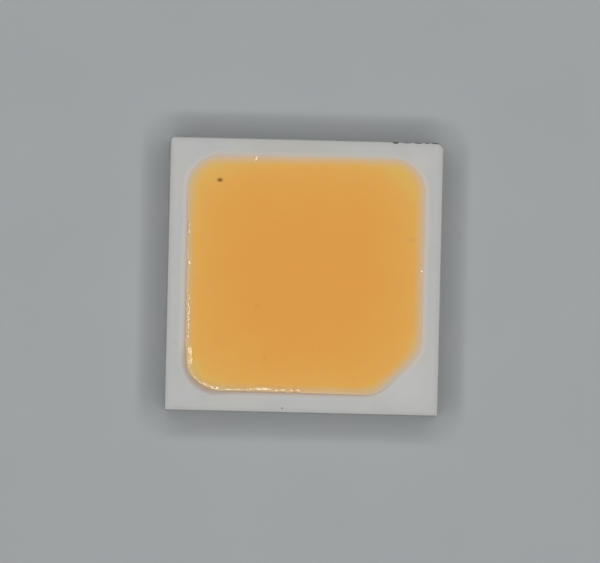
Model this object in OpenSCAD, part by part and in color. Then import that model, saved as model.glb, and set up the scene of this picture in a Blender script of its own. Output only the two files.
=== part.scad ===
// Surface-mount LED in a 3.0 mm square moulded package.
// Light leaves along +Z. The origin is the centre of the underside, on the plane of the solder pads.
// The cathode lead is on the +X side, and the cathode mark is the cavity corner at +X, -Y.
// All sizes are in millimetres and all angles in degrees.

/* [Package] */
// Side of the square package
package_side = 3; // [2.9:0.05:3.4]
// Height from the solder pads to the rim
package_height = 0.52; // [0.5:0.01:0.8]

/* [Cavity] */
// Side of the cavity where its walls meet the rounded lip
mouth_side = 2.58; // [2.45:0.01:2.7]
// Lean of the cavity's walls from the vertical
wall_lean = 25; // [10:1:32]
// Radius of the cavity's corners where the walls meet the lip
corner_radius = 0.36; // [0.32:0.01:0.6]
// Leg of the 45 degree corner that marks the cathode
mark_leg = 0.48; // [0.4:0.01:0.7]
// Radius of the lip that rounds the walls into the rim
lip_radius = 0.06; // [0.02:0.01:0.08]

/* [Silicone fill] */
// Height of bare wall between the silicone and the lip
bare_wall = 0.006; // [0.002:0.001:0.03]
// Rise of the silicone from its edge to its flat middle
crown_rise = 0.025; // [0.01:0.005:0.035]
// Width of the rounded band along the silicone's edge
crown_band = 0.3; // [0.1:0.01:0.4]

/* [Lead frame] */
// Thickness of the copper sheet
sheet = 0.2; // [0.15:0.01:0.25]
// Depth etched away from below everywhere outside the pads
etch_depth = 0.1; // [0.06:0.01:0.12]
// Reach of the etched flange past the edge of each pad
flange = 0.06; // [0.03:0.01:0.1]
// Length of both solder pads across the package
pad_length = 2.3; // [2:0.05:2.5]
// Width of the cathode's solder pad
cathode_pad = 1.7; // [1.6:0.05:1.8]
// Width of the anode's solder pad
anode_pad = 0.5; // [0.45:0.01:0.6]
// Gap between the two solder pads
pad_gap = 0.3; // [0.25:0.01:0.4]
// Radius of the solder pads' corners
pad_corner = 0.08; // [0.03:0.01:0.15]
// Width of each tie bar
tie_width = 0.2; // [0.1:0.01:0.3]
// Distance between the two tie bars on each end of the package
tie_pitch = 1.3; // [0.8:0.05:1.8]

/* [Chips] */
// Length of each chip
chip_length = 0.86; // [0.6:0.01:1]
// Width of each chip
chip_width = 0.56; // [0.4:0.01:0.7]
// Height of each chip
chip_height = 0.12; // [0.09:0.01:0.15]
// Gap between the two chips
chip_gap = 0.4; // [0.2:0.01:0.6]
// Width of the land on the cathode lead that is left free beside the chips
wire_land = 0.42; // [0.3:0.01:0.5]
// Thickness of the glue under each chip
glue_bed = 0.012; // [0.005:0.001:0.02]
// Width and height of the glue fillet round the foot of each chip
glue_fillet = 0.03; // [0.01:0.005:0.05]
// Thickness to which that fillet thins at its top
glue_edge = 0.003; // [0.001:0.001:0.006]
// Diameter of the contacts on each chip
contact_d = 0.09; // [0.075:0.005:0.11]
// Distance from each end of the chip to the middle of its contact
contact_inset = 0.1; // [0.08:0.01:0.15]
// Thickness of the contacts and their fingers
contact_height = 0.003; // [0.002:0.001:0.006]
// Width of the contacts' fingers
finger_width = 0.012; // [0.008:0.001:0.02]

/* [Bond wires] */
// Diameter of the gold wire
wire_d = 0.025; // [0.018:0.001:0.03]
// Diameter of the ball at each wire's first end
ball_d = 0.07; // [0.05:0.002:0.08]
// Height of that ball
ball_height = 0.018; // [0.01:0.001:0.025]
// Height of the loops above the chips' contacts
loop_rise = 0.075; // [0.055:0.005:0.09]
// Length over which the loop turns from upright to level
loop_turn = 0.06; // [0.04:0.005:0.08]
// Length of the flattened stitch at each wire's second end
stitch_length = 0.06; // [0.04:0.005:0.08]
// Thickness of that stitch at its tip
stitch_tip = 0.006; // [0.004:0.001:0.01]
// Width of that stitch at its tip
stitch_width = 0.05; // [0.03:0.005:0.06]

/* [Hidden] */
$fn = 48;

// How far a cutting shape reaches past the face that it cuts
over_cut = 0.05;
// Segments in a quarter turn of the cavity's corners
corner_steps = 12;
// Smallest radius that those corners keep where their outline is moved in
least_radius = 0.02;
// Segments in the lip and in the silicone's crown
lip_steps = 5;
crown_steps = 8;
// Sides of the bond wires, and segments in each stretch of them
wire_sides = 8;
turn_steps = 5;
fall_steps = 10;
stitch_steps = 2;

// Width of the ball's flat foot and top, as a share of its own width
ball_flat = 0.8;
// Heights where the ball's side starts and ends, as shares of its own height
ball_side = [0.25, 0.75];

// Heights of the lip's foot and of the silicone's edge
lip_foot = package_height - lip_radius * (1 - sin(wall_lean));
fill_edge = lip_foot - bare_wall;

// Places of the solder pads along X, as one group about the origin
pads_width = anode_pad + pad_gap + cathode_pad;
anode_x = (anode_pad - pads_width) / 2;
cathode_x = (pads_width - cathode_pad) / 2;

// Places of the chips, on the cathode lead's top
land_x = cathode_x - cathode_pad / 2 - flange;
chip_x = land_x + wire_land + chip_length / 2;
chip_y = (chip_gap + chip_width) / 2;
chip_z = sheet + glue_bed;
contact_x = chip_length / 2 - contact_inset;
contact_top = chip_z + chip_height + contact_height;

// The anode wire ends in the middle of the anode lead's part that the cavity leaves open
anode_edge = anode_x + anode_pad / 2 + flange;
cavity_edge = -mouth_side / 2 + wall_run(sheet);
anode_stitch_x = (anode_edge + cavity_edge) / 2;

// How far the cavity's wall has run in, from the lip's foot down to a height
function wall_run(z) = (lip_foot - z) * tan(wall_lean);

// Level ring of the cavity's outline, moved in by an inset: three round corners, then the mark's two
function cavity_ring(inset, z) =
    let (
        half = mouth_side / 2 - inset,
        leg = mark_leg - inset * (2 - sqrt(2)),
        radius = max(corner_radius - inset, least_radius),
        side = half - radius,
        mark = half - leg - radius * (sqrt(2) - 1),
        corners = [
            [side, side, 0, 90], [-side, side, 90, 180], [-side, -side, 180, 270],
            [mark, -side, 270, 315], [side, -mark, 315, 360]
        ]
    )
    [for (corner = corners)
        let (start = corner[2], turn = corner[3] - start, steps = corner_steps * turn / 90)
        for (i = [0:steps])
            let (a = start + turn * i / steps)
            [corner.x + radius * cos(a), corner.y + radius * sin(a), z]];

// Closed skin over a row of rings, each counterclockwise when seen from the row's far end
module skin(rings) {
    n = len(rings[0]);
    last = len(rings) - 1;
    polyhedron(
        points = [for (ring = rings) each ring],
        faces = [
            [for (i = [0:n - 1]) i],
            for (k = [0:last - 1], i = [0:n - 1])
                [k * n + i, (k + 1) * n + i, (k + 1) * n + (i + 1) % n, k * n + (i + 1) % n],
            [for (i = [n - 1:-1:0]) last * n + i]
        ]
    );
}

// The cavity: leaning walls from the floor up, rounded into the rim by the lip
module cavity() {
    skin([
        cavity_ring(wall_run(sheet), sheet),
        for (i = [0:lip_steps])
            let (a = wall_lean + (90 - wall_lean) * i / lip_steps)
            cavity_ring(
                lip_radius * (cos(a) - cos(wall_lean)),
                package_height - lip_radius * (1 - sin(a))
            ),
        cavity_ring(-lip_radius * cos(wall_lean), package_height + over_cut)
    ]);
}

// What the silicone fills: the cavity up to its edge, then a crown that levels out in the middle
module fill() {
    edge_inset = wall_run(fill_edge);
    skin([
        cavity_ring(wall_run(sheet), sheet),
        for (i = [0:crown_steps])
            let (s = i / crown_steps)
            cavity_ring(edge_inset + crown_band * s, fill_edge + crown_rise * (1 - pow(1 - s, 2)))
    ]);
}

// Rectangle with round corners, about the origin
module rounded_rect(size, radius) {
    square([size.x - 2 * radius, size.y], center = true);
    square([size.x, size.y - 2 * radius], center = true);
    for (x = [-1, 1], y = [-1, 1])
        translate([x * (size.x / 2 - radius), y * (size.y / 2 - radius)]) circle(radius);
}

// One half of the lead frame: a pad, its flange etched thin from below, and the tie bars that run
// to the package's sides. end is the side of its two end bars, and reach carries it past its faces.
module lead(pad_x, pad_width, end, reach = 0) {
    thin = sheet - etch_depth;
    bar_end = package_side / 2 + reach;
    translate([pad_x, 0, -reach]) linear_extrude(sheet + reach)
        rounded_rect([pad_width, pad_length], pad_corner);
    translate([pad_x, 0, etch_depth]) linear_extrude(thin)
        rounded_rect([pad_width + 2 * flange, pad_length + 2 * flange], pad_corner + flange);
    translate([pad_x - tie_width / 2, -bar_end, etch_depth]) cube([tie_width, 2 * bar_end, thin]);
    for (side = [-1, 1])
        translate([min(pad_x, end * bar_end), side * tie_pitch / 2 - tie_width / 2, etch_depth])
            cube([abs(end * bar_end - pad_x), tie_width, thin]);
}

// Contacts and fingers of one chip, in plan: the p contact at -X, the n contact at +X
module electrodes() {
    finger_y = chip_width / 2 - contact_inset;
    finger_length = 2 * contact_x - contact_d;
    for (x = [-1, 1]) translate([x * contact_x, 0]) circle(d = contact_d);
    translate([-contact_x, 0]) square([finger_width, 2 * finger_y + finger_width], center = true);
    for (side = [-1, 1])
        translate([-contact_x, side * finger_y - finger_width / 2]) square([finger_length, finger_width]);
    translate([contact_x - finger_length, -finger_width / 2]) square([finger_length, finger_width]);
}

// One chip on its own foot: a sapphire block with the contacts on its top
module chip() {
    translate([-chip_length / 2, -chip_width / 2, 0]) cube([chip_length, chip_width, chip_height]);
    translate([0, 0, chip_height]) linear_extrude(contact_height) electrodes();
}

// Level rectangular ring about the Z axis
function rect_ring(size, z) =
    [for (c = [[1, 1], [-1, 1], [-1, -1], [1, -1]]) [c.x * size.x / 2, c.y * size.y / 2, z]];

// Glue under one chip, with a fillet that thins out up the chip's sides
module glue() {
    foot = [chip_length + 2 * glue_fillet, chip_width + 2 * glue_fillet];
    top = [chip_length + 2 * glue_edge, chip_width + 2 * glue_edge];
    difference() {
        skin([rect_ring(foot, 0), rect_ring(top, glue_bed + glue_fillet)]);
        translate([-chip_length / 2, -chip_width / 2, glue_bed])
            cube([chip_length, chip_width, chip_height]);
    }
}

// Places a chip, or its glue, on the cathode lead: chip a at +Y, chip b turned round at -Y
module at_chip_a(z) {
    translate([chip_x, chip_y, z]) children();
}

module at_chip_b(z) {
    translate([chip_x, -chip_y, z]) rotate(180) children();
}

// Ring of a wire that runs in the XZ plane: place, heading, and half sizes along and across the plane.
// The half sizes are those of the flats, so that a wire can lie flat on what it is bonded to.
function wire_ring(x, z, heading, half_thick, half_wide) =
    [for (i = [0:wire_sides - 1])
        let (
            a = 360 * (i + 0.5) / wire_sides,
            thick = half_thick * cos(a) / cos(180 / wire_sides),
            wide = half_wide * sin(a) / cos(180 / wire_sides)
        )
        [x - thick * sin(heading), -wide, z + thick * cos(heading)]];

// Rings of the squashed ball that sits on a contact at the origin
function ball_rings(top_radius) = [
    wire_ring(0, 0, 90, ball_flat * ball_d / 2, ball_flat * ball_d / 2),
    for (share = ball_side) wire_ring(0, share * ball_height, 90, ball_d / 2, ball_d / 2),
    wire_ring(0, ball_height, 90, top_radius, top_radius)
];

// One bond wire, from the ball at the origin to a stitch at a span along +X and a drop below it.
// The loop stays level until it is clear of the chip's edge.
module wire(span, drop, clear = 0) {
    r = wire_d / 2;
    turn_rise = loop_rise - ball_height;
    fall_start = max(loop_turn, clear);
    fall = loop_rise + drop - r;
    run = span - fall_start - stitch_length;
    skin([
        each ball_rings(r),
        for (i = [1:turn_steps])
            let (a = 90 * i / turn_steps)
            wire_ring(
                loop_turn * (1 - cos(a)), ball_height + turn_rise * sin(a),
                atan2(turn_rise * cos(a), loop_turn * sin(a)), r, r
            ),
        for (i = [1:fall_steps])
            let (s = i / fall_steps)
            wire_ring(
                fall_start + run * s, loop_rise - fall * (1 - cos(180 * s)) / 2,
                -atan(fall * PI / 2 * sin(180 * s) / run), r, r
            ),
        for (i = [1:stitch_steps])
            let (
                s = i / stitch_steps,
                thick = r + (stitch_tip / 2 - r) * s
            )
            wire_ring(
                span - stitch_length * (1 - s), thick - drop, 0,
                thick, r + (stitch_width / 2 - r) * s
            )
    ]);
}

// Everything that the silicone flows round
module inner_parts() {
    die_attach_a();
    die_attach_b();
    led_chip_a();
    led_chip_b();
    bond_bump();
    wire_chip_a_to_anode();
    wire_chip_a_to_chip_b();
    wire_chip_b_to_cathode();
}

module housing() {
    color("gainsboro") difference() {
        translate([-package_side / 2, -package_side / 2, 0])
            cube([package_side, package_side, package_height]);
        cavity();
        lead(cathode_x, cathode_pad, 1, over_cut);
        lead(anode_x, anode_pad, -1, over_cut);
    }
}

module cathode_lead() {
    color("silver") lead(cathode_x, cathode_pad, 1);
}

module anode_lead() {
    color("silver") lead(anode_x, anode_pad, -1);
}

module die_attach_a() {
    color("ghostwhite") at_chip_a(sheet) glue();
}

module die_attach_b() {
    color("ghostwhite") at_chip_b(sheet) glue();
}

module led_chip_a() {
    color("lightsteelblue") at_chip_a(chip_z) chip();
}

module led_chip_b() {
    color("lightsteelblue") at_chip_b(chip_z) chip();
}

// The ball on chip b's p contact that takes the stitch from chip a
module bond_bump() {
    color("gold") translate([chip_x + contact_x, -chip_y, contact_top])
        skin(ball_rings(ball_flat * ball_d / 2));
}

module wire_chip_a_to_anode() {
    first_x = chip_x - contact_x;
    color("gold") translate([first_x, chip_y, contact_top]) rotate(180)
        wire(first_x - anode_stitch_x, contact_top - sheet, contact_inset);
}

module wire_chip_a_to_chip_b() {
    color("gold") translate([chip_x + contact_x, chip_y, contact_top]) rotate(-90)
        wire(2 * chip_y + stitch_length / 2, -ball_height);
}

module wire_chip_b_to_cathode() {
    first_x = chip_x - contact_x;
    color("gold") translate([first_x, -chip_y, contact_top]) rotate(180)
        wire(contact_inset + wire_land / 2, contact_top - sheet, contact_inset);
}

module encapsulant() {
    color("goldenrod") difference() {
        fill();
        inner_parts();
    }
}

housing();
cathode_lead();
anode_lead();
die_attach_a();
die_attach_b();
led_chip_a();
led_chip_b();
bond_bump();
wire_chip_a_to_anode();
wire_chip_a_to_chip_b();
wire_chip_b_to_cathode();
encapsulant();
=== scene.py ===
import math

import bmesh
import bpy
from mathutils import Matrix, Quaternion, Vector, noise


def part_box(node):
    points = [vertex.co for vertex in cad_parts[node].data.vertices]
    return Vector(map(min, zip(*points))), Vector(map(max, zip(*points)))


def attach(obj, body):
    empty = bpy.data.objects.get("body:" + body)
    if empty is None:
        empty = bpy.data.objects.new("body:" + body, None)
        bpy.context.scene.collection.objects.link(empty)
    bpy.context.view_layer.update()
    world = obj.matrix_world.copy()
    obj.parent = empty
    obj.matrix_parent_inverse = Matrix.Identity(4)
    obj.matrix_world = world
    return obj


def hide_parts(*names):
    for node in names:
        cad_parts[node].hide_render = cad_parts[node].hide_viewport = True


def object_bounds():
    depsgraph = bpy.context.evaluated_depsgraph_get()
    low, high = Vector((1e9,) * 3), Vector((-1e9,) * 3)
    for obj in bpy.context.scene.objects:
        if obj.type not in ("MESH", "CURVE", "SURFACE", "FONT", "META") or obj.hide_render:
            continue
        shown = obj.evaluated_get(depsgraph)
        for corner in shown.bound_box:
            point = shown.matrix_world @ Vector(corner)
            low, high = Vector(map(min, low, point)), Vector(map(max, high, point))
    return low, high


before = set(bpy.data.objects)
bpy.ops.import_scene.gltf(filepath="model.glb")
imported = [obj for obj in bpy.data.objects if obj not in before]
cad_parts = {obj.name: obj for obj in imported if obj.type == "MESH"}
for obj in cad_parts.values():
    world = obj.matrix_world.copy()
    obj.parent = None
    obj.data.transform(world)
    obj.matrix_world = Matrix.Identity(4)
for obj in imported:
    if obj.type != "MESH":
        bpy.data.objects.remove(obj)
cad_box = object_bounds()

# Lead frame: two halves of thin copper sheet, etched thinner from below round the solder pads and plated
# with silver. The housing is moulded round them, and the saw leaves bare copper on the tie bars' ends.
MM = 0.001
half_side = cad_box[1][0] / MM
# How far in from the sawn sides the bare copper goes
bare_end = 0.002
silver = (0.80, 0.79, 0.76, 1)
tarnish = (0.62, 0.57, 0.48, 1)
copper = (0.78, 0.40, 0.26, 1)
copper_dull = (0.56, 0.27, 0.17, 1)
# Values between which a cloudy pattern mostly stays
cloud_low, cloud_high = 0.3, 0.7
# Cloudy patterns of the plating: lumps per millimetre and levels of detail
tarnish_cloud = (2.5, 4)
polish_cloud = (8, 4)
plate_cloud = (60, 2)
# Range of its pattern over which the tarnish comes in, and how much of it there is at most
tarnish_range = (0.4, 0.8)
tarnish_most = 0.4
# Lumps per millimetre of the saw lines along X, Y and Z
copper_saw_lines = (4, 4, 90)
silver_rough = (0.24, 0.42)
# Depth of the relief, and how strongly it shows
plate_relief = (0.002, 0.5)


def feed(tree, target, inputs):
    """Sets each input of a shader node, or links it where the value comes from another node."""
    for name, value in inputs.items():
        if isinstance(value, bpy.types.NodeSocket):
            tree.links.new(value, target.inputs[name])
        else:
            target.inputs[name].default_value = value


def add(tree, kind, inputs, **settings):
    """Adds a shader node with its settings and inputs."""
    made = tree.nodes.new("ShaderNode" + kind)
    for name, value in settings.items():
        setattr(made, name, value)
    feed(tree, made, inputs)
    return made


def calc(tree, operation, *values):
    """Result of one sum on numbers or sockets."""
    return add(tree, "Math", dict(enumerate(values)), operation=operation).outputs[0]


def place_in_mm(tree):
    """Place on the part in millimetres."""
    place = add(tree, "TexCoord", {}).outputs["Object"]
    return add(tree, "VectorMath", {0: place, "Scale": 1 / MM}, operation="SCALE").outputs[0]


def axes(tree, place):
    """X, Y and Z of a place."""
    return add(tree, "SeparateXYZ", {0: place}).outputs


def outer_reach(tree, x, y):
    """The larger of the distances from the middle along X and along Y."""
    return calc(tree, "MAXIMUM", calc(tree, "ABSOLUTE", x), calc(tree, "ABSOLUTE", y))


def cloud(tree, place, lumps_per_mm, detail=2.0):
    """Cloudy pattern, mostly between cloud_low and cloud_high."""
    return add(tree, "TexNoise", {"Vector": place, "Scale": lumps_per_mm, "Detail": detail}).outputs[0]


def stretched_cloud(tree, place, lumps_per_mm):
    """Cloudy pattern with a number of lumps of its own along X, Y and Z."""
    stretched = add(tree, "Mapping", {"Vector": place, "Scale": lumps_per_mm}).outputs[0]
    return cloud(tree, stretched, 1)


def span(tree, value, low, high, to_low=0.0, to_high=1.0):
    """Carries the range low to high over to another one, and holds its ends outside it."""
    inputs = {"Value": value, "From Min": low, "From Max": high, "To Min": to_low, "To Max": to_high}
    return add(tree, "MapRange", inputs).outputs[0]


def vary(tree, pattern, to_low, to_high):
    """Carries a cloudy pattern over to another range."""
    return span(tree, pattern, cloud_low, cloud_high, to_low, to_high)


def mix(tree, share, first, second):
    """Colour that goes from the first to the second as the share goes from 0 to 1."""
    return add(tree, "Mix", {0: share, 6: first, 7: second}, data_type="RGBA").outputs[2]


def blend(tree, share, first, second):
    """Number that goes from the first to the second as the share goes from 0 to 1."""
    return add(tree, "Mix", {0: share, 2: first, 3: second}).outputs[0]


def bump(tree, height, depth_mm, strength=1.0):
    """Normal of a surface with that relief."""
    inputs = {"Height": height, "Distance": depth_mm * MM, "Strength": strength}
    return add(tree, "Bump", inputs).outputs[0]


def new_material(name):
    """A material, its node tree and its shader."""
    material = bpy.data.materials.new(name)
    material.use_nodes = True
    return material, material.node_tree, material.node_tree.nodes["Principled BSDF"]


def silver_plate():
    """Satin silver with faint tarnish, and saw-marked bare copper on the outer sides of the package."""
    material, tree, shader = new_material("silver_plate")
    place = place_in_mm(tree)
    x, y = axes(tree, place)[:2]
    sawn = calc(tree, "GREATER_THAN", outer_reach(tree, x, y), half_side - bare_end)
    tarnished = span(tree, cloud(tree, place, *tarnish_cloud), *tarnish_range, 0, tarnish_most)
    plate = mix(tree, tarnished, silver, tarnish)
    saw_lines = stretched_cloud(tree, place, copper_saw_lines)
    bare = mix(tree, saw_lines, copper, copper_dull)
    relief = blend(tree, sawn, cloud(tree, place, *plate_cloud), saw_lines)
    feed(tree, shader, {
        "Base Color": mix(tree, sawn, plate, bare),
        "Metallic": 1.0,
        "Roughness": vary(tree, cloud(tree, place, *polish_cloud), *silver_rough),
        "Normal": bump(tree, relief, *plate_relief),
    })
    return material


def finish_node(name, material):
    """Gives a CAD node its finish."""
    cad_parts[name].material_slots[0].material = material


lead_finish = silver_plate()
finish_node("cathode_lead", lead_finish)
finish_node("anode_lead", lead_finish)

# Housing: one moulding of white, mineral-filled epoxy round the lead frame, with the cavity in its top.
# The saw that parts it from its neighbours leaves crisp sides, a chipped +Y edge and two clipped corners.
housing_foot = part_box("housing")[0].z / MM
housing_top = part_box("housing")[1].z / MM
# Distance within which points are joined, and the difference within which two lengths are the same
join_distance = 0.00002
same_length = 0.0001
# Z part of a face's normal below which the face is upright
upright_slack = 0.001
# Angle below which the triangles of one flat are joined, and the one from which an edge stays sharp
flat_angle = math.radians(0.5)
crease = math.radians(20)
edge_round = 0.014
round_segments = 3
# Legs of the clipped outer corners, at the -X +Y and +X +Y corners
corner_clips = {(-1, 1): 0.03, (1, 1): 0.055}
# Pitch of the points along the chipped edge. It has to be longer than edge_round, or the rounding folds.
edge_pitch = 0.0145
# Chips along the +Y edge: where each starts and ends along X, and how far it reaches into the rim
edge_chips = ((0.945, 1.005, 0.009), (1.03, 1.16, 0.002), (1.17, 1.27, 0.003),
              (1.295, 1.345, 0.003), (1.355, 1.455, 0.003))
# Raggedness of a chip as a share of its depth, and how fast it changes along X and with that depth
chip_ragged = 0.6
chip_teeth = 70
chip_seed = 900
# How much further a chip goes down the side than into the rim, and the depth from which its painted shade
# is darkest
chip_fall = 1.5
chip_shade_depth = 0.004
# Width of the strip along the +Y side in which its edge's points lie, and the slack of their level
edge_strip = 0.021
level_slack = 0.01
# Outline of the cavity at the silicone's edge: half its width, its corners' radius and the mark's leg
mouth_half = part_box("encapsulant")[1].x / MM
mouth_corner = 0.357
mark_leg = 0.478
# Distances out from that outline at which the painted glow on the wall and the painted light on the lip
# start and end
wall_glow_start, tint_start, tint_end = 0.005, 0.03, 0.085
# Sum of X and Y, either side of 0, between which one half of the lip turns into the other, from painted
# shade to painted light
half_turn = 0.6
# Size of Y less that of X, either side of 0, between which painted shade darkens the lip on its Y sides,
# and how much
side_turn = 0.2
lip_side_shade = 0.3
# Sum of X and Y between which painted shade dulls the lip towards the -X -Y corner, how far out that
# goes, and how much of it is left at the silicone's edge and out there
dull_corner = (-2.05, -2.3)
dull_end = 0.06
dull_inner, dull_outer = 0.1, 0.2
moulding_white = (0.449, 0.454, 0.445, 1)
moulding_cool = (0.428, 0.440, 0.434, 1)
moulding_warm = (0.455, 0.450, 0.424, 1)
moulding_filler = (0.51, 0.51, 0.50, 1)
# Painted shade along the outer edges and on the lip's Y sides, which is also the colour of the scuffs
edge_shade_and_scuff = (0.40, 0.402, 0.388, 1)
moulding_sawn = (0.40, 0.40, 0.39, 1)
# Painted shade in the chips, which is also the colour of the dot on the rim
chip_shade_and_dot = (0.035, 0.038, 0.036, 1)
# Painted light on the lip: shaded and lit halves of the silicone's glow, painted shade at the -X -Y
# corner, and a painted glow on the wall
painted_lip_glow_shaded = (0.54, 0.495, 0.465, 1)
painted_lip_glow_lit = (0.59, 0.493, 0.388, 1)
painted_lip_corner_shade = (0.43, 0.395, 0.39, 1)
painted_wall_glow = (0.62, 0.53, 0.46, 1)
# Cloudy patterns of the moulding: lumps per millimetre, levels of detail, and the range of each pattern
# over which its colour comes in
cool_cloud, cool_range = (3, 3), (0.35, 0.65)
warm_cloud, warm_range = (1.6, 2), (0.45, 0.7)
filler_cloud, filler_range = (55, 1), (0.58, 0.72)
# Shift that keeps the warm pattern apart from the cool one, and how much of the filler shows at most
warm_shift = (5, 3, 0)
filler_most = 0.3
# Broad patches of another shade on the rim: where each is, how far it reaches, and its colour
rim_patches = (
    ((-0.15, 1.4), 0.7, (0.434, 0.428, 0.392, 1)),
    ((1.14, -1.14), 0.36, (0.475, 0.475, 0.468, 1)),
    ((1.26, 1.26), 0.2, (0.478, 0.459, 0.450, 1)),
)
# Width of the band of painted shade along the outer edges, and how far in the colour of the sawn sides
# goes
edge_shade_band = 0.06
sawn_start, sawn_end = 0.003, 0.001
# How far down from the top the painted light on the lip, the dot and the scuffs go
mark_depth = 0.2
# Dot on the rim: where it is, and the distances between which it fades out
rim_dot = (-0.21, -1.455)
dot_size = (0.001, 0.014)
# Scuffs on the rim: where each is, the distances between which it fades out, how many times longer it is
# along X, its lumps per millimetre, the range over which it comes in, and how much of it there is at most
rim_scuffs = ((-1.40, -0.77), (1.18, -1.40), (0.96, -1.42))
scuff_size = (0.02, 0.09)
scuff_stretch = 1.5
scuff_lumps = (20, 70, 1)
scuff_range = (0.4, 0.7)
scuff_most = 0.7
# Values on the chips between which their painted shade comes in
chip_shade_range = (0.1, 0.7)
epoxy_saw_lines = (3, 3, 60)
epoxy_rough = (0.5, 0.66)
epoxy_relief = (0.003, 0.4)


def merged_copy(name):
    """Mesh of a CAD node in millimetres, with its loose triangles joined."""
    shape = bmesh.new()
    shape.from_mesh(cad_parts[name].data)
    bmesh.ops.scale(shape, vec=(1 / MM,) * 3, verts=shape.verts)
    bmesh.ops.remove_doubles(shape, verts=shape.verts, dist=join_distance)
    return shape


def new_object(name, data):
    """A new object in the scene."""
    made = bpy.data.objects.new(name, data)
    bpy.context.scene.collection.objects.link(made)
    return made


def add_piece(shape, name, node, material):
    """Turns a mesh in millimetres into the piece that stands for a CAD node."""
    bmesh.ops.scale(shape, vec=(MM,) * 3, verts=shape.verts)
    mesh = bpy.data.meshes.new(name)
    shape.to_mesh(mesh)
    shape.free()
    mesh.materials.append(material)
    piece = new_object(name, mesh)
    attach(piece, "root")
    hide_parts(node)


def only(kind, elements):
    """The elements of one kind among those that an operator gives back."""
    return [element for element in elements if isinstance(element, kind)]


def near(value, target):
    """Whether two lengths in millimetres are the same."""
    return abs(value - target) < same_length


def at_top(edge_or_face):
    """Whether all of an edge or a face is level with the rim."""
    return all(near(v.co.z, housing_top) for v in edge_or_face.verts)


def is_clip_end(place):
    """Whether a point on a clipped corner is one of the four ends of the clip."""
    at_side = near(abs(place.x), half_side) or near(abs(place.y), half_side)
    return at_side and (near(place.z, housing_top) or near(place.z, housing_foot))


def nearest(place, points):
    """The one of some points that is nearest to a place."""
    return min(points, key=lambda point: (point.co - place).length)


def is_upright(face):
    """Whether a face stands upright."""
    return abs(face.normal.z) < upright_slack


def is_outer_wall(face):
    """Whether a face is on one of the sawn sides or a clipped corner."""
    reach = max(abs(c) for v in face.verts for c in v.co.xy)
    way_out = face.calc_center_median().xy.dot(face.normal.xy)
    return is_upright(face) and near(reach, half_side) and way_out > mouth_half


def is_outer_edge(edge):
    """Whether an edge is between an outer wall and the rim, or a corner between two outer walls."""
    walls = outer_walls.intersection(edge.link_faces)
    if len(walls) == 1:
        return at_top(edge)
    return len(walls) == 2 and edge.calc_face_angle() > crease


def is_flat(face):
    """Whether a face is the rim's flat top or one of the sawn sides."""
    if at_top(face):
        return True
    centre = face.calc_center_median()
    return is_upright(face) and near(max(abs(centre.x), abs(centre.y)), half_side)


def chip_depth(x):
    """How far a chip reaches into the rim at a place along the +Y edge."""
    for start, end, depth in edge_chips:
        if start < x < end:
            along = (x - start) / (end - start)
            rough = 1 + chip_ragged * noise.noise(Vector((x * chip_teeth, depth * chip_seed, 0)))
            return depth * rough * math.sqrt(math.sin(math.pi * along))
    return 0.0


housing = merged_copy("housing")
bmesh.ops.dissolve_limit(housing, angle_limit=flat_angle, verts=housing.verts, edges=housing.edges)
for (sign_x, sign_y), leg in corner_clips.items():
    clip_point = (sign_x * half_side, sign_y * (half_side - leg), 0)
    cut = bmesh.ops.bisect_plane(
        housing, geom=[*housing.verts, *housing.edges, *housing.faces], plane_co=clip_point,
        plane_no=(sign_x, sign_y, 0), clear_outer=True
    )["geom_cut"]
    bmesh.ops.edgeloop_fill(housing, edges=only(bmesh.types.BMEdge, cut))
# Points between the ends of a clip would fold the rounding there, so they go onto the nearest end
for (sign_x, sign_y), leg in corner_clips.items():
    clip_sum = 2 * half_side - leg
    clip_points = [v for v in housing.verts if near(sign_x * v.co.x + sign_y * v.co.y, clip_sum)]
    clip_ends = [v for v in clip_points if is_clip_end(v.co)]
    strays = {v: nearest(v.co, clip_ends) for v in clip_points if v not in clip_ends}
    bmesh.ops.weld_verts(housing, targetmap=strays)
outer_walls = {face for face in housing.faces if is_outer_wall(face)}
outer_edges = [edge for edge in housing.edges if is_outer_edge(edge)]
chipped_edges = [e for e in outer_edges if at_top(e) and all(near(v.co.y, half_side) for v in e.verts)]
for edge in chipped_edges:
    cuts = int(edge.calc_length() / edge_pitch) - 1
    made = bmesh.ops.subdivide_edges(housing, edges=[edge], cuts=cuts)
    outer_edges += [e for e in only(bmesh.types.BMEdge, made["geom_split"]) if e not in outer_edges]
bmesh.ops.bevel(
    housing, geom=outer_edges, offset=edge_round, offset_type="OFFSET", affect="EDGES",
    segments=round_segments, profile=0.5, material=-1
)
# The chip attribute holds how much painted shade darkens each point of a chip
chip_shade_layer = housing.verts.layers.float.new("chip")
for vert in housing.verts:
    depth = chip_depth(vert.co.x)
    up = (vert.co.z - housing_top + edge_round) / edge_round
    if depth and vert.co.y > half_side - edge_strip and up > -level_slack:
        vert.co.y -= depth * up
        vert.co.z -= depth * chip_fall * (1 - up)
        vert[chip_shade_layer] = float(level_slack < up < 1 - level_slack) * min(depth / chip_shade_depth, 1)
for face in housing.faces:
    face.smooth = True
for edge in housing.edges:
    edge.smooth = not any(is_flat(f) for f in edge.link_faces) and edge.calc_face_angle(0) < crease


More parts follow.
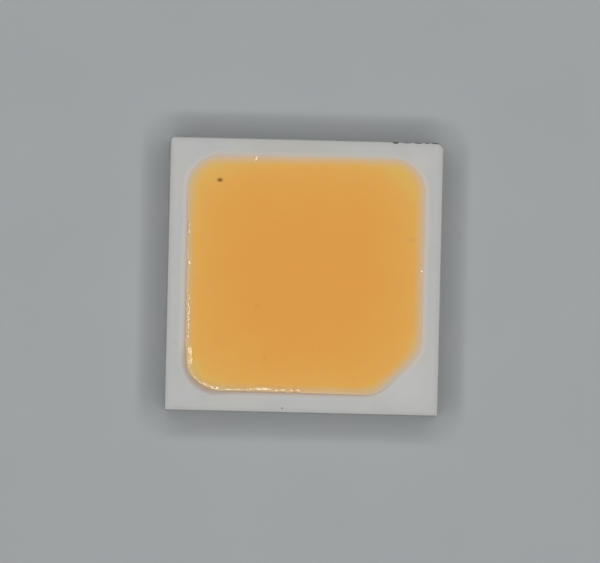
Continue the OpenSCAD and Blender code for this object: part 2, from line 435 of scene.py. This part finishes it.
def cavity_reach(tree, x, y):
    """Distance out from the cavity's outline, which has four round corners, one of them cut off."""
    corner_centre = mouth_half - mouth_corner
    past_x = calc(tree, "SUBTRACT", calc(tree, "ABSOLUTE", x), corner_centre)
    past_y = calc(tree, "SUBTRACT", calc(tree, "ABSOLUTE", y), corner_centre)
    out_x = calc(tree, "MAXIMUM", past_x, 0.0)
    out_y = calc(tree, "MAXIMUM", past_y, 0.0)
    out_squared = calc(tree, "MULTIPLY_ADD", out_x, out_x, calc(tree, "MULTIPLY", out_y, out_y))
    round_part = calc(tree, "SQRT", out_squared)
    flat_part = calc(tree, "MINIMUM", calc(tree, "MAXIMUM", past_x, past_y), 0.0)
    square = calc(tree, "SUBTRACT", calc(tree, "ADD", round_part, flat_part), mouth_corner)
    past_mark = calc(tree, "SUBTRACT", calc(tree, "SUBTRACT", x, y), 2 * mouth_half - mark_leg)
    mark = calc(tree, "DIVIDE", past_mark, math.sqrt(2))
    return calc(tree, "SMOOTH_MAX", square, mark, mouth_corner / 2)


def spot(tree, place, centre, inner, outer, stretch=1.0):
    """Goes from 1 within the inner distance of a place on the top to 0 at the outer one."""
    shift = (-centre[0] / stretch, -centre[1], 0)
    inputs = {"Vector": place, "Location": shift, "Scale": (1 / stretch, 1, 0)}
    off = add(tree, "Mapping", inputs).outputs[0]
    reach = add(tree, "VectorMath", {0: off}, operation="LENGTH").outputs["Value"]
    return span(tree, reach, inner, outer, 1, 0)


def patch(tree, place, centre, reach):
    """A broad, soft spot, which fades out over the outer two thirds of its reach."""
    return spot(tree, place, centre, reach / 3, reach)


def filled_epoxy():
    """White moulding with cloudy filler and faint scuffs, painted shade along its outer edges and in its
    chips, and painted light from the silicone on its lip.
    """
    material, tree, shader = new_material("filled_epoxy")
    place = place_in_mm(tree)
    x, y, z = axes(tree, place)
    outer = outer_reach(tree, x, y)
    upper = calc(tree, "GREATER_THAN", z, housing_top - mark_depth)
    cool = span(tree, cloud(tree, place, *cool_cloud), *cool_range)
    colour = mix(tree, cool, moulding_white, moulding_cool)
    shifted = add(tree, "Mapping", {"Vector": place, "Location": warm_shift}).outputs[0]
    warm = span(tree, cloud(tree, shifted, *warm_cloud), *warm_range)
    colour = mix(tree, warm, colour, moulding_warm)
    for centre, patch_reach, shade in rim_patches:
        colour = mix(tree, patch(tree, place, centre, patch_reach), colour, shade)
    grains = cloud(tree, place, *filler_cloud)
    colour = mix(tree, span(tree, grains, *filler_range, 0, filler_most), colour, moulding_filler)
    # Painted shade along the outer edges
    colour = mix(tree, span(tree, outer, half_side - edge_shade_band, half_side), colour, edge_shade_and_scuff)
    scuffs = stretched_cloud(tree, place, scuff_lumps)
    for centre in rim_scuffs:
        worn = calc(tree, "MULTIPLY", spot(tree, place, centre, *scuff_size, scuff_stretch), scuffs)
        worn = calc(tree, "MULTIPLY", worn, upper)
        colour = mix(tree, span(tree, worn, *scuff_range, 0, scuff_most), colour, edge_shade_and_scuff)
    # Painted light on the lip: the silicone's glow, lit on the +X +Y half, painted shade on its Y sides
    # and towards the -X -Y corner, and a painted glow on the wall
    across = calc(tree, "ADD", x, y)
    bare = span(tree, across, -half_turn, half_turn, 1, 0)
    lip = mix(tree, bare, painted_lip_glow_lit, painted_lip_glow_shaded)
    turned = calc(tree, "SUBTRACT", calc(tree, "ABSOLUTE", y), calc(tree, "ABSOLUTE", x))
    lip = mix(tree, span(tree, turned, -side_turn, side_turn, 0, lip_side_shade), lip, edge_shade_and_scuff)
    reach = cavity_reach(tree, x, y)
    lip = mix(tree, span(tree, reach, wall_glow_start, tint_start, 1, 0), lip, painted_wall_glow)
    dulled = span(tree, across, *dull_corner)
    dulled = calc(tree, "MULTIPLY", dulled, span(tree, reach, 0, tint_start, dull_inner, 1))
    dulled = calc(tree, "MULTIPLY", dulled, span(tree, reach, tint_start, dull_end, 1, dull_outer))
    lip = mix(tree, dulled, lip, painted_lip_corner_shade)
    tinted = calc(tree, "MULTIPLY", span(tree, reach, tint_start, tint_end, 1, 0), upper)
    colour = mix(tree, tinted, colour, lip)
    dotted = calc(tree, "MULTIPLY", spot(tree, place, rim_dot, *dot_size), upper)
    colour = mix(tree, dotted, colour, chip_shade_and_dot)
    # Painted shade in the chips
    chip_shade = add(tree, "Attribute", {}, attribute_name="chip").outputs["Fac"]
    colour = mix(tree, span(tree, chip_shade, *chip_shade_range), colour, chip_shade_and_dot)
    saw_lines = stretched_cloud(tree, place, epoxy_saw_lines)
    sawn = span(tree, outer, half_side - sawn_start, half_side - sawn_end)
    colour = mix(tree, sawn, colour, moulding_sawn)
    feed(tree, shader, {
        "Base Color": colour,
        "Roughness": vary(tree, grains, *epoxy_rough),
        "Specular IOR Level": 0.4,
        "Normal": bump(tree, blend(tree, sawn, grains, saw_lines), *epoxy_relief),
    })
    return material


add_piece(housing, "moulded_housing", "housing", filled_epoxy())

# Die attach: a thin bed of clear glue under each chip, dispensed as a dot and pressed out by the chip
# into a small fillet round its foot, then cured.
glue_clear = (0.62, 0.60, 0.52, 1)
glue_milky = (0.74, 0.73, 0.68, 1)
glue_cloud = (18, 2)
glue_rough = (0.08, 0.22)
glue_relief = (0.002, 0.4)


def cured_glue():
    """Milky clear glue, with a wet shine."""
    material, tree, shader = new_material("cured_glue")
    ripple = cloud(tree, place_in_mm(tree), *glue_cloud)
    feed(tree, shader, {
        "Base Color": mix(tree, ripple, glue_clear, glue_milky),
        "Roughness": vary(tree, ripple, *glue_rough),
        "IOR": 1.42,
        "Normal": bump(tree, ripple, *glue_relief),
    })
    return material


glue_finish = cured_glue()
finish_node("die_attach_a", glue_finish)
finish_node("die_attach_b", glue_finish)

# Chips: two blocks of sapphire with a thin light-emitting layer on top, scribed and broken from a wafer.
# Gold contacts and fingers are plated on the layer. The glue holds the blocks on the cathode's half.
chip_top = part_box("led_chip_a")[1].z / MM
contact_height = 0.003
layer_height = 0.006
sapphire = (0.50, 0.56, 0.60, 1)
sapphire_broken = (0.62, 0.68, 0.72, 1)
light_layer = (0.34, 0.42, 0.50, 1)
contact_gold = (0.83, 0.62, 0.26, 1)
scribe_lines = (30, 30, 6)
sapphire_rough = (0.12, 0.34)
scribe_relief = (0.002, 0.3)


def chip_finish():
    """Scribed sapphire sides, a smooth blue-grey layer on top, and gold above that."""
    material, tree, shader = new_material("sapphire_chip")
    place = place_in_mm(tree)
    z = axes(tree, place)[2]
    scribe = stretched_cloud(tree, place, scribe_lines)
    block = mix(tree, scribe, sapphire, sapphire_broken)
    in_layer = calc(tree, "GREATER_THAN", z, chip_top - contact_height - layer_height)
    block = mix(tree, in_layer, block, light_layer)
    in_contact = calc(tree, "GREATER_THAN", z, chip_top - contact_height / 2)
    feed(tree, shader, {
        "Base Color": mix(tree, in_contact, block, contact_gold),
        "Metallic": in_contact,
        "Roughness": vary(tree, scribe, *sapphire_rough),
        "Normal": bump(tree, scribe, *scribe_relief),
    })
    return material


sapphire_finish = chip_finish()
finish_node("led_chip_a", sapphire_finish)
finish_node("led_chip_b", sapphire_finish)

# Bond wires and bump: drawn gold wire, melted to a ball that is pressed and scrubbed onto a contact,
# looped over and stitched flat at its other end. The bump is such a ball with its wire torn off.
gold_bright = (0.90, 0.66, 0.27, 1)
gold_deep = (0.76, 0.50, 0.17, 1)
gold_cloud = (90, 2)
gold_rough = (0.16, 0.32)
gold_relief = (0.0006, 0.4)


def bond_gold():
    """Soft gold with a fine grain."""
    material, tree, shader = new_material("bond_gold")
    grain = cloud(tree, place_in_mm(tree), *gold_cloud)
    feed(tree, shader, {
        "Base Color": mix(tree, grain, gold_bright, gold_deep),
        "Metallic": 1.0,
        "Roughness": vary(tree, grain, *gold_rough),
        "Normal": bump(tree, grain, *gold_relief),
    })
    return material


gold_finish = bond_gold()
for name in ("wire_chip_a_to_anode", "wire_chip_a_to_chip_b", "wire_chip_b_to_cathode", "bond_bump"):
    finish_node(name, gold_finish)

# Encapsulant: silicone with yellow phosphor stirred in, poured into the cavity and cured there. It wets
# the lip, but has shrunk down the wall towards the -X -Y corner, where its edge is lumpy and glitters.
silicone_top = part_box("encapsulant")[1].z / MM
# As in the CAD: lean of the cavity's walls, radius of the lip above them, rise of the silicone's middle
wall_lean = math.radians(25)
lip_radius = 0.06
lip_foot = housing_top - lip_radius * (1 - math.sin(wall_lean))
crown_rise = 0.025
edge_height = silicone_top - crown_rise
# Pitch of the points along the edge, and the widths of the rings of faces from it inwards
facet_pitch = 0.011
ring_steps = (0.013, 0.01, 0.01, 0.01, 0.01, 0.011, 0.012, 0.015, 0.02, 0.03, 0.04, 0.055, 0.064)
ring_insets = [sum(ring_steps[:count]) for count in range(len(ring_steps) + 1)]
ring_band = ring_insets[-1]
# How far the flat middle sags towards that corner
lid_sag = 0.02
# Height of the edge where it wets the lip, and how far below the CAD's edge it lies where shrunk, with
# the mean share of that drop, how much the share changes, and the lumps per millimetre of the change
wetted_height = housing_top - 0.009
shoulder_drop = 0.004
shoulder_share, shoulder_change = 0.7, 0.9
shoulder_lumps = 9
# Weights of X and Y in how much the silicone has shrunk, the weighted sums where that starts and ends, and
# the places along X between which it comes in
shrink_weights = Vector((-0.22, -0.3, 0))
shrink_range = (-0.45, 0.75)
shrink_side = (0.9, 0.5)
# How far it has come away from the -Y wall, and the distances towards that wall between which it does
wall_gap = 0.003
gap_range = (0.9, 1.2)
# Roll-over of the shrunk edge: its depth and reach, how much deeper it is at the very corner, and the
# distances out along the diagonal where that starts and is full
roll_depth, roll_reach = 0.007, 0.008
corner_drop = 0.012
corner_start, corner_end = 1.42, 1.67
# Slope that the edge has instead where it glitters, how far in its roll-over goes there, how much the
# slope changes, and the lumps per millimetre of the change
glint_slope = 0.289
crisp_reach = 0.004
slope_change = 0.15
slope_lumps = 30
# Height of the lumps there, how many there are per millimetre across and along the edge, and their share
# on the rest of the shrunk edge
facet_height = 0.001
facets_across, facets_along = 120, 45
dull_facets = 0.15
# Places along the edge that glitter, the distance that each reaches, and how far in its slope goes
glitter_places = (
    (-1.245, -0.91, 0.13, 0.07), (-1.26, -0.67, 0.045, 0.036), (-1.262, -0.58, 0.04, 0.036),
    (-1.262, -0.5, 0.045, 0.036), (-1.262, -0.42, 0.04, 0.036), (-1.262, -0.35, 0.04, 0.036),
    (-1.265, -0.25, 0.035, 0.036), (-1.27, 0.12, 0.035, 0.035),
    (-1.28, 0.46, 0.035, 0.03), (-1.28, 0.54, 0.035, 0.03),
    (-1.13, -1.16, 0.1, 0.032), (-1.01, -1.21, 0.16, 0.045), (-0.81, -1.262, 0.06, 0.024),
    (-0.66, -1.265, 0.11, 0.024), (-0.54, -1.257, 0.045, 0.036), (-0.43, -1.254, 0.13, 0.043),
    (-0.23, -1.262, 0.07, 0.036), (-0.07, -1.264, 0.06, 0.036)
)
# Distances in from the edge between which the glitter comes in
glitter_range = (0.1, 0.05)
# Small flats on the other sides that catch the light too: where each is and which way it faces
edge_flats = ((-0.555, 1.262, 0, 1), (1.27, 0.09, 1, 0))
flat_slope = 0.335
flat_radius = 0.018
# Glitter from which a face is left flat, and the angle from which an edge stays sharp
facet_glitter = 0.3
silicone_crease = math.radians(40)
phosphor_middle = (0.706, 0.302, 0.032, 1)
phosphor_side = (0.700, 0.352, 0.049, 1)
phosphor_corner = (0.664, 0.396, 0.073, 1)
phosphor_wetted = (0.530, 0.415, 0.320, 1)
phosphor_shrunk = (0.475, 0.405, 0.300, 1)
# Painted sheen where the edge glitters
painted_glitter_sheen = (0.95, 0.80, 0.60, 1)
# Distance over which the light from a wall falls to about a third, the change that the mottle makes to
# it, and the amounts of light between which the colours of the sides and the corners come in
wall_fade = 0.35
mottle_cloud = (2.2, 4)
mottle_change = 0.1
side_range = (0.2, 0.85)
corner_range = (0.85, 1.2)
# Range of distances out from the cavity's outline over which the silicone thins out, and the powers
# that say how suddenly it does at the shrunk and at the wetted side
thin_range = (-0.11, 0.026)
thin_powers = (1.6, 2.1)
# Places where it thins out sooner or later: where each is, how far it reaches, and how much sooner
thin_shifts = (((1.16, -1.06), 0.5, 0.013), ((-1.02, 1.27), 0.45, 0.012), ((-1.05, -1.2), 0.45, 0.012),
               ((-1.3, 0.6), 0.35, -0.01), ((0.4, 1.3), 0.45, -0.009))
# Amounts of glitter between which the painted sheen and the shine come in, how much painted sheen there
# is and how rough it gets, and the amounts between which the grain's relief goes
shine_range = (0.2, 0.4)
painted_sheen_share = 0.06
shine_rough = 0.08
relief_range = (0.05, 0.3)
phosphor_cloud = (34, 2)
phosphor_shade = (0.985, 1.015)
phosphor_rough = (0.4, 0.48)
phosphor_relief = 0.0006
# Speck: its colour, where it is, the distances between which it fades out, how many times longer it is
# along X, and how rough it is
speck_brown = (0.165, 0.045, 0.001, 1)
speck_place = (-0.948, 1.038)
speck_size = (0.004, 0.032)
speck_stretch = 1.4
speck_rough = 1.0
# Smudges: where each is and how many times longer it is along X, the distances between which they fade
# out, and how they change the shade
smudge_places = (((1.18, 0.43), 1.8), ((-0.415, -0.913), 1), ((-0.51, -0.33), 1))
smudge_size = (0.01, 0.05)
smudge_shade = -0.06

silicone = merged_copy("encapsulant")
glitter_layer = silicone.verts.layers.float.new("glitter")
crown = [f for f in silicone.faces if all(v.co.z > edge_height - same_length for v in f.verts)]
bmesh.ops.delete(silicone, geom=crown, context="FACES")
rim = [edge for edge in silicone.edges if edge.is_boundary]
lid = bmesh.ops.edgeloop_fill(silicone, edges=rim)["faces"][0]
rim_corner = mouth_half - max(v.co.x for v in lid.verts if near(v.co.y, mouth_half))
# The short edges are chords of the round corners, and their new points go onto the arc
for edge in rim:
    chord = edge.calc_length()
    middle = (edge.verts[0].co + edge.verts[1].co) / 2
    made = bmesh.ops.subdivide_edges(silicone, edges=[edge], cuts=max(int(chord / facet_pitch), 1))
    if chord < rim_corner / 2:
        across = (edge.verts[1].co - edge.verts[0].co).cross(Vector((0, 0, 1))).normalized()
        to_chord = math.sqrt(rim_corner ** 2 - chord ** 2 / 4)
        centre = middle - across * math.copysign(to_chord, across.dot(middle))
        for vert in only(bmesh.types.BMVert, made["geom_inner"]):
            vert.co = centre + (vert.co - centre).normalized() * rim_corner
lid.normal_update()
if lid.normal.z < 0:
    lid.normal_flip()
for step in ring_steps:
    bmesh.ops.inset_region(
        silicone, faces=[lid], thickness=step, use_boundary=True, use_even_offset=True
    )
# Rings of points, from the edge inwards
lid_rings = [set(lid.verts)]
for step in ring_steps:
    around = {e.other_vert(v) for v in lid_rings[0] for e in v.link_edges}
    level = {v for v in around if near(v.co.z, edge_height)}
    lid_rings.insert(0, level.difference(*lid_rings))


def ease(value, low, high):
    """Goes smoothly from 0 at low to 1 at high."""
    share = min(max((value - low) / (high - low), 0), 1)
    return share * share * (3 - 2 * share)


def wall_reach(height):
    """How far out from the lip's foot the cavity's wall, or the lip above it, is at a height."""
    if height < lip_foot:
        return (height - lip_foot) * math.tan(wall_lean)
    turned = 1 - (housing_top - height) / lip_radius
    return lip_radius * (math.cos(wall_lean) - math.sqrt(1 - turned ** 2))


def shrunk(place):
    """How much the silicone has shrunk away from the wall, from 0 to 1."""
    return ease(place.dot(shrink_weights), *shrink_range) * ease(place.x, *shrink_side)


def lid_height(place):
    """Height of the flat middle at a place."""
    return silicone_top - lid_sag * (0.5 - (place.x + place.y) / (4 * (mouth_half - ring_band)))


def shoulder_height(place):
    """Height at which the top near a place would meet the wall if its edge didn't roll over."""
    share = shoulder_share + shoulder_change * noise.noise(place * shoulder_lumps)
    low = edge_height - shoulder_drop * share
    return wetted_height + (low - wetted_height) * shrunk(place)


def glitter(place, depth_in):
    """How much a place glitters at a distance in from the edge, and how far in its slope goes."""
    spots = [
        (ease((place.xy - Vector((x, y))).length, reach, reach / 2), slope_reach)
        for x, y, reach, slope_reach in glitter_places
    ]
    most, slope_reach = max(spots)
    return most * ease(depth_in, *glitter_range), slope_reach


def roll(place, depth_in):
    """How far the edge has rolled over at a place and a distance in from it."""
    corner = max(-(place.x + place.y) / math.sqrt(2) - corner_start, 0) / (corner_end - corner_start)
    glitters, slope_reach = glitter(place, 0)
    rolled = shrunk(place) * (roll_depth + corner_drop * corner ** 3)
    rolled *= math.exp(-depth_in / (roll_reach * (1 + corner) * (1 - glitters) + crisp_reach * glitters))
    own_slope = 2 * (lid_height(place) - shoulder_height(place)) / ring_band
    ramp_slope = glint_slope * (1 + slope_change * noise.noise(place * slope_lumps)) - own_slope
    ramp = glitters * ramp_slope * max(slope_reach - depth_in, 0)
    return rolled + ramp


def on_flat(place):
    """How far a place on one of the small flats is down its slope, or nothing off them."""
    for x, y, way_x, way_y in edge_flats:
        off = place.xy - Vector((x, y))
        if off.length < flat_radius:
            return off.dot(Vector((way_x, way_y)))
    return None


edge_reach = wall_reach(edge_height)
edge_moves = []
for inset, ring, beside_ring in zip(ring_insets, lid_rings, [lid_rings[1], *lid_rings]):
    share_left = 1 - inset / ring_band
    for vert in ring:
        place = Vector((vert.co.x, vert.co.y, 0))
        shoulder = shoulder_height(place)
        gap = wall_gap * ease(-place.y, *gap_range)
        climb = wall_reach(shoulder - roll(place, 0)) - edge_reach - gap
        beside = next(v for e in vert.link_edges for v in e.verts if v in beside_ring)
        outward = (vert.co.xy - beside.co.xy).normalized() * (1 if inset == 0 else -1)
        edge_moves.append((vert, outward * climb * share_left))
        depth_in = inset * (1 + climb / ring_band)
        middle = lid_height(place)
        vert.co.z = middle - (middle - shoulder) * share_left ** 2 - roll(place, depth_in)
        vert[glitter_layer] = glitter(place, depth_in)[0]
        if 0 < inset < ring_band:
            streak = Vector((depth_in * facets_across, (place.x - place.y) * facets_along, 0))
            facets = facet_height * noise.noise(streak)
            vert.co.z += max(vert[glitter_layer], dull_facets * shrunk(place)) * facets
            down_flat = on_flat(place)
            if down_flat is not None:
                vert.co.z -= flat_slope * down_flat
                vert[glitter_layer] = 1.0
for vert, move in edge_moves:
    vert.co.xy += move
for face in silicone.faces:
    face.smooth = max(v[glitter_layer] for v in face.verts) < facet_glitter
for edge in silicone.edges:
    edge.smooth = edge.calc_face_angle(0) < silicone_crease


def phosphor_silicone():
    """Orange phosphor that pales to yellow by the walls, with a faint mottle, a speck, smudges and a
    painted sheen where its edge glitters.
    """
    material, tree, shader = new_material("phosphor_silicone")
    place = place_in_mm(tree)
    x, y = axes(tree, place)[:2]
    wall_light = 0.0
    for axis in (x, y):
        for side in (-1, 1):
            gap = calc(tree, "MULTIPLY_ADD", axis, side, mouth_half)
            fade = calc(tree, "POWER", math.e, calc(tree, "DIVIDE", gap, -wall_fade))
            wall_light = calc(tree, "ADD", wall_light, fade)
    mottle = vary(tree, cloud(tree, place, *mottle_cloud), -mottle_change, mottle_change)
    wall_light = calc(tree, "ADD", wall_light, mottle)
    colour = mix(tree, span(tree, wall_light, *side_range), phosphor_middle, phosphor_side)
    colour = mix(tree, span(tree, wall_light, *corner_range), colour, phosphor_corner)
    reach = cavity_reach(tree, x, y)
    for centre, shift_reach, sooner in thin_shifts:
        shifted = patch(tree, place, centre, shift_reach)
        reach = calc(tree, "MULTIPLY_ADD", shifted, sooner, reach)
    across = calc(tree, "ADD", x, y)
    thin_power = span(tree, across, -half_turn, half_turn, *thin_powers)
    thin = calc(tree, "POWER", span(tree, reach, *thin_range), thin_power)
    wetted = span(tree, across, -half_turn, half_turn)
    colour = mix(tree, thin, colour, mix(tree, wetted, phosphor_shrunk, phosphor_wetted))
    glittering = add(tree, "Attribute", {}, attribute_name="glitter").outputs["Fac"]
    # Painted sheen where the edge glitters
    colour = mix(tree, span(tree, glittering, *shine_range, 0, painted_sheen_share), colour, painted_glitter_sheen)
    grains = cloud(tree, place, *phosphor_cloud)
    shade = vary(tree, grains, *phosphor_shade)
    for centre, stretch in smudge_places:
        smudge = spot(tree, place, centre, *smudge_size, stretch)
        shade = calc(tree, "MULTIPLY_ADD", smudge, smudge_shade, shade)
    shading = add(tree, "CombineColor", {0: shade, 1: shade, 2: shade}).outputs[0]
    colour = add(
        tree, "Mix", {0: 1.0, 6: colour, 7: shading}, data_type="RGBA", blend_type="MULTIPLY"
    ).outputs[2]
    speck = spot(tree, place, speck_place, *speck_size, speck_stretch)
    colour = mix(tree, speck, colour, speck_brown)
    satin = vary(tree, grains, *phosphor_rough)
    rough = blend(tree, span(tree, glittering, *shine_range), satin, shine_rough)
    relief = calc(tree, "MULTIPLY", grains, span(tree, glittering, *relief_range, 1, 0))
    feed(tree, shader, {
        "Base Color": colour,
        "Roughness": blend(tree, speck, rough, speck_rough),
        "IOR": 1.53,
        "Normal": bump(tree, relief, phosphor_relief),
    })
    return material


add_piece(silicone, "silicone_fill", "encapsulant", phosphor_silicone())

# Stage: a plain pale grey floor that the part lies on, under a dim sky that is brighter low down and a
# ring of small round lamps well above it, a little stronger towards -Y. The camera looks down from above,
# a little towards -X -Y. Lengths here are in metres.
floor_half = 0.3
floor_grey = (0.355, 0.370, 0.379, 1)
floor_grey_soft = (0.335, 0.350, 0.359, 1)
floor_cloud = (0.8, 3)
# Strength of the sky high up and at the horizon, and how far up, as a sine, it stops getting dimmer
sky_high = 0.03
sky_low = 0.5
sky_low_end = 0.35
ring_lamps = 24
ring_radius = 0.305
ring_height = 0.5
lamp_diameter = 0.08
# Light of the whole ring on the floor, where 1 shows a colour as it is written
ring_light = 0.945
# How much stronger the strongest lamps are, and the direction that they stand in
lean_share = 0.1
lean_angle = math.radians(268)
camera_aim = Vector((-0.00004444, -0.00005846, cad_box[1][2]))
camera_way = Vector((-0.0036, -0.0036, 0.1464))
camera_turn = math.radians(1.346)
# Focal length and sensor in millimetres
camera_lens = 800
camera_sensor = 36
camera_clip = 0.001

ground = bmesh.new()
bmesh.ops.create_grid(ground, x_segments=1, y_segments=1, size=floor_half)
floor_mesh = bpy.data.meshes.new("floor")
ground.to_mesh(floor_mesh)
ground.free()
floor = new_object("floor", floor_mesh)
floor_material, floor_tree, floor_shader = new_material("floor_grey")
floor_pattern = cloud(floor_tree, place_in_mm(floor_tree), *floor_cloud)
feed(floor_tree, floor_shader, {
    "Base Color": mix(floor_tree, floor_pattern, floor_grey, floor_grey_soft),
    "Roughness": 0.9,
    "Specular IOR Level": 0.2,
})
floor_mesh.materials.append(floor_material)

world = bpy.data.worlds.new("dim_sky")
world.use_nodes = True
sky_tree = world.node_tree
sky_way = add(sky_tree, "TexCoord", {}).outputs["Generated"]
sky_up = axes(sky_tree, sky_way)[2]
feed(sky_tree, sky_tree.nodes["Background"], {
    "Color": (1, 1, 1, 1),
    "Strength": span(sky_tree, sky_up, 0, sky_low_end, sky_low, sky_high),
})
bpy.context.scene.world = world

lamp_reach = math.hypot(ring_radius, ring_height)
full_power = ring_light * math.pi ** 2 * lamp_reach ** 3 / (ring_lamps * ring_height)
for i in range(ring_lamps):
    angle = 2 * math.pi * i / ring_lamps
    lamp_data = bpy.data.lights.new(f"ring_lamp_{i}", "AREA")
    lamp_data.shape = "DISK"
    lamp_data.size = lamp_diameter
    lamp_data.energy = full_power * (1 + lean_share * math.cos(angle - lean_angle))
    lamp = new_object(f"ring_lamp_{i}", lamp_data)
    lamp.location = (ring_radius * math.cos(angle), ring_radius * math.sin(angle), ring_height)
    lamp.rotation_euler = (-lamp.location).to_track_quat("-Z", "Y").to_euler()
    lamp.visible_camera = False

camera_data = bpy.data.cameras.new("camera")
camera_data.lens = camera_lens
camera_data.sensor_width = camera_sensor
camera_data.clip_start = camera_clip
camera = new_object("camera", camera_data)
camera.location = camera_aim + camera_way
camera_tilt = Vector((0, 0, 1)).rotation_difference(camera_way)
camera.rotation_euler = (camera_tilt @ Quaternion((0, 0, 1), camera_turn)).to_euler()
bpy.context.scene.camera = camera
bpy.context.scene.view_settings.view_transform = "Standard"
